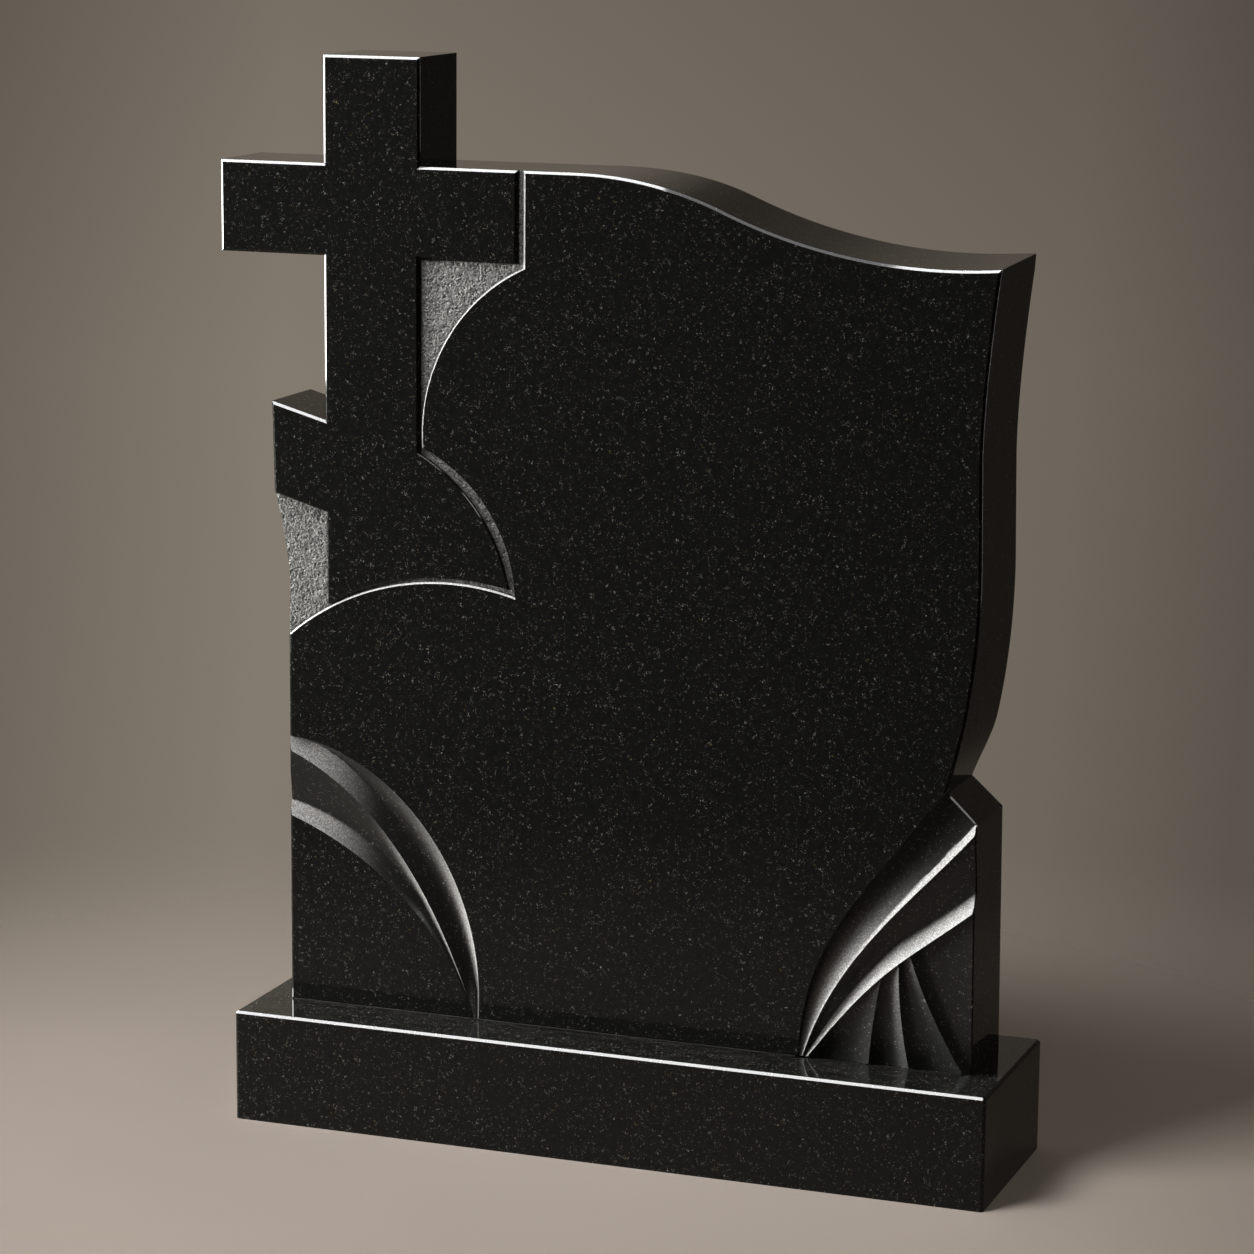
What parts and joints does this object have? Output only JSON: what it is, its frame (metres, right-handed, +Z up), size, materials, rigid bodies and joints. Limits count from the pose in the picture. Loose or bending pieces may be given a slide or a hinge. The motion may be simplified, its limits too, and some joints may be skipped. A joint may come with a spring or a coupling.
{
  "type": "headstone",
  "caption": "Polished black granite headstone: a slab with a relief cross, sunk rough ground, swept flutes and a carved fan of folds, on a rectangular plinth.",
  "frame": {"origin": "middle of the plinth's underside, on the ground", "axes": "+Z up, +X to the right seen from the front, +Y from the carved front to the back"},
  "size_m": [0.941, 0.24, 1.23],
  "materials": {
    "slab_granite": "polished",
    "plinth_granite": "polished"
  },
  "bodies": {
    "root": {"headstone_slab": "slab_granite", "plinth": "plinth_granite"}
  },
  "joints": []
}
